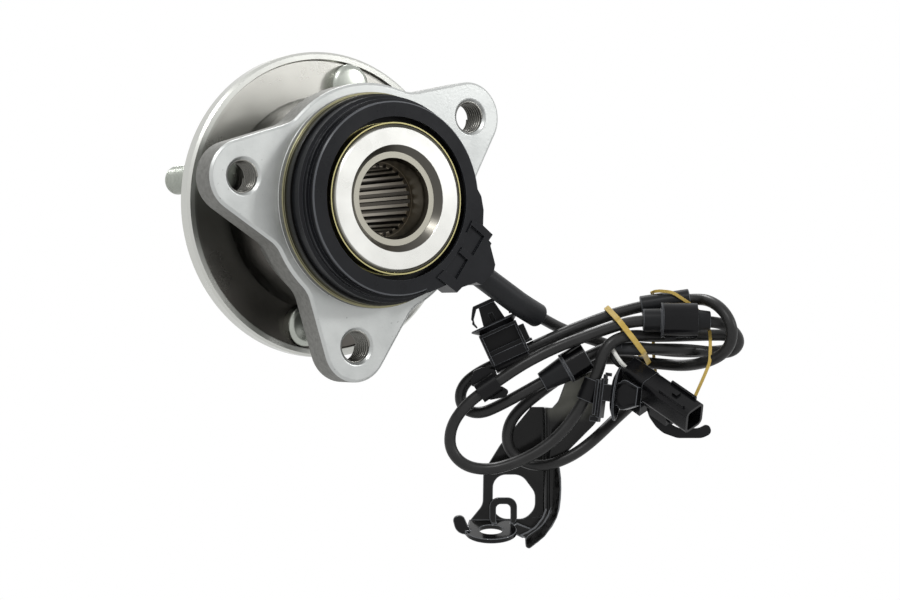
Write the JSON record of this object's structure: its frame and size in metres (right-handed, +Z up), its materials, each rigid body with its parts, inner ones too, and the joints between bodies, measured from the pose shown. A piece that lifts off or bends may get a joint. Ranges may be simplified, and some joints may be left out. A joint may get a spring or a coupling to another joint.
{
  "type": "wheel hub bearing",
  "caption": "Driven-wheel hub bearing unit with a three-eared outer ring, studded wheel flange, splined bore, speed sensor, and its tied lead with bracket, clips and connector",
  "frame": {"origin": "on the spin axis, in the plane of the ears' knuckle-side face", "axes": "+Y along the spin axis, outboard towards the wheel; +X across the knuckle face, to the right seen from the knuckle side; +Z up, as held in the car"},
  "size_m": [0.2254, 0.1377, 0.2021],
  "materials": {
    "machined_steel": "turned and ground",
    "forged_steel": "forged, blasted and machined",
    "bearing_steel": "polished",
    "zinc_steel": "plated",
    "black_steel": "glossy black coat",
    "black_plastic": "moulded satin",
    "black_rubber": "matt",
    "white_plastic": "satin",
    "band_rubber": "matt",
    "pin_metal": "plated"
  },
  "bodies": {
    "stationary": {"outer_ring": "forged_steel", "seal_outboard": "black_rubber", "seal_inboard": "black_rubber", "sensor_ring": "black_plastic", "sensor_head": "black_plastic", "sensor_sleeve": "black_rubber", "sensor_lead": "black_rubber", "grommet_lower": "black_rubber", "grommet_upper": "black_rubber", "grommet_clamp": "black_steel", "cable_bracket": "black_steel", "cable_protector": "black_rubber", "cable_tape": "black_rubber", "clip_upper": "black_plastic", "clip_right": "black_plastic", "clip_left": "black_plastic", "connector_shell": "black_plastic", "connector_pins": "pin_metal", "connector_cap": "black_plastic", "connector_hook": "black_steel", "wire_white": "white_plastic", "wire_dark": "black_rubber", "rubber_band_wide": "band_rubber", "rubber_band_thin": "band_rubber"},
    "hub": {"hub_flange": "machined_steel", "inner_ring": "bearing_steel", "wheel_studs": "zinc_steel", "encoder_slinger": "zinc_steel", "encoder_magnet": "black_rubber"},
    "row_inboard": {"cage_inboard": "black_plastic", "balls_inboard": "bearing_steel"},
    "row_outboard": {"cage_outboard": "black_plastic", "balls_outboard": "bearing_steel"}
  },
  "joints": [
    {"name": "hub_spin", "type": "hinge", "parent": "stationary", "child": "hub", "pos_m": [0, 0, 0], "axis": [0, 1, 0], "continuous": true},
    {"name": "cage_inboard_spin", "type": "hinge", "parent": "stationary", "child": "row_inboard", "pos_m": [0, 0, 0], "axis": [0, 1, 0], "continuous": true},
    {"name": "cage_outboard_spin", "type": "hinge", "parent": "stationary", "child": "row_outboard", "pos_m": [0, 0, 0], "axis": [0, 1, 0], "continuous": true}
  ],
  "couplings": [
    {"joint": "cage_inboard_spin", "follows": "hub_spin", "ratio": 0.42},
    {"joint": "cage_outboard_spin", "follows": "hub_spin", "ratio": 0.42}
  ]
}
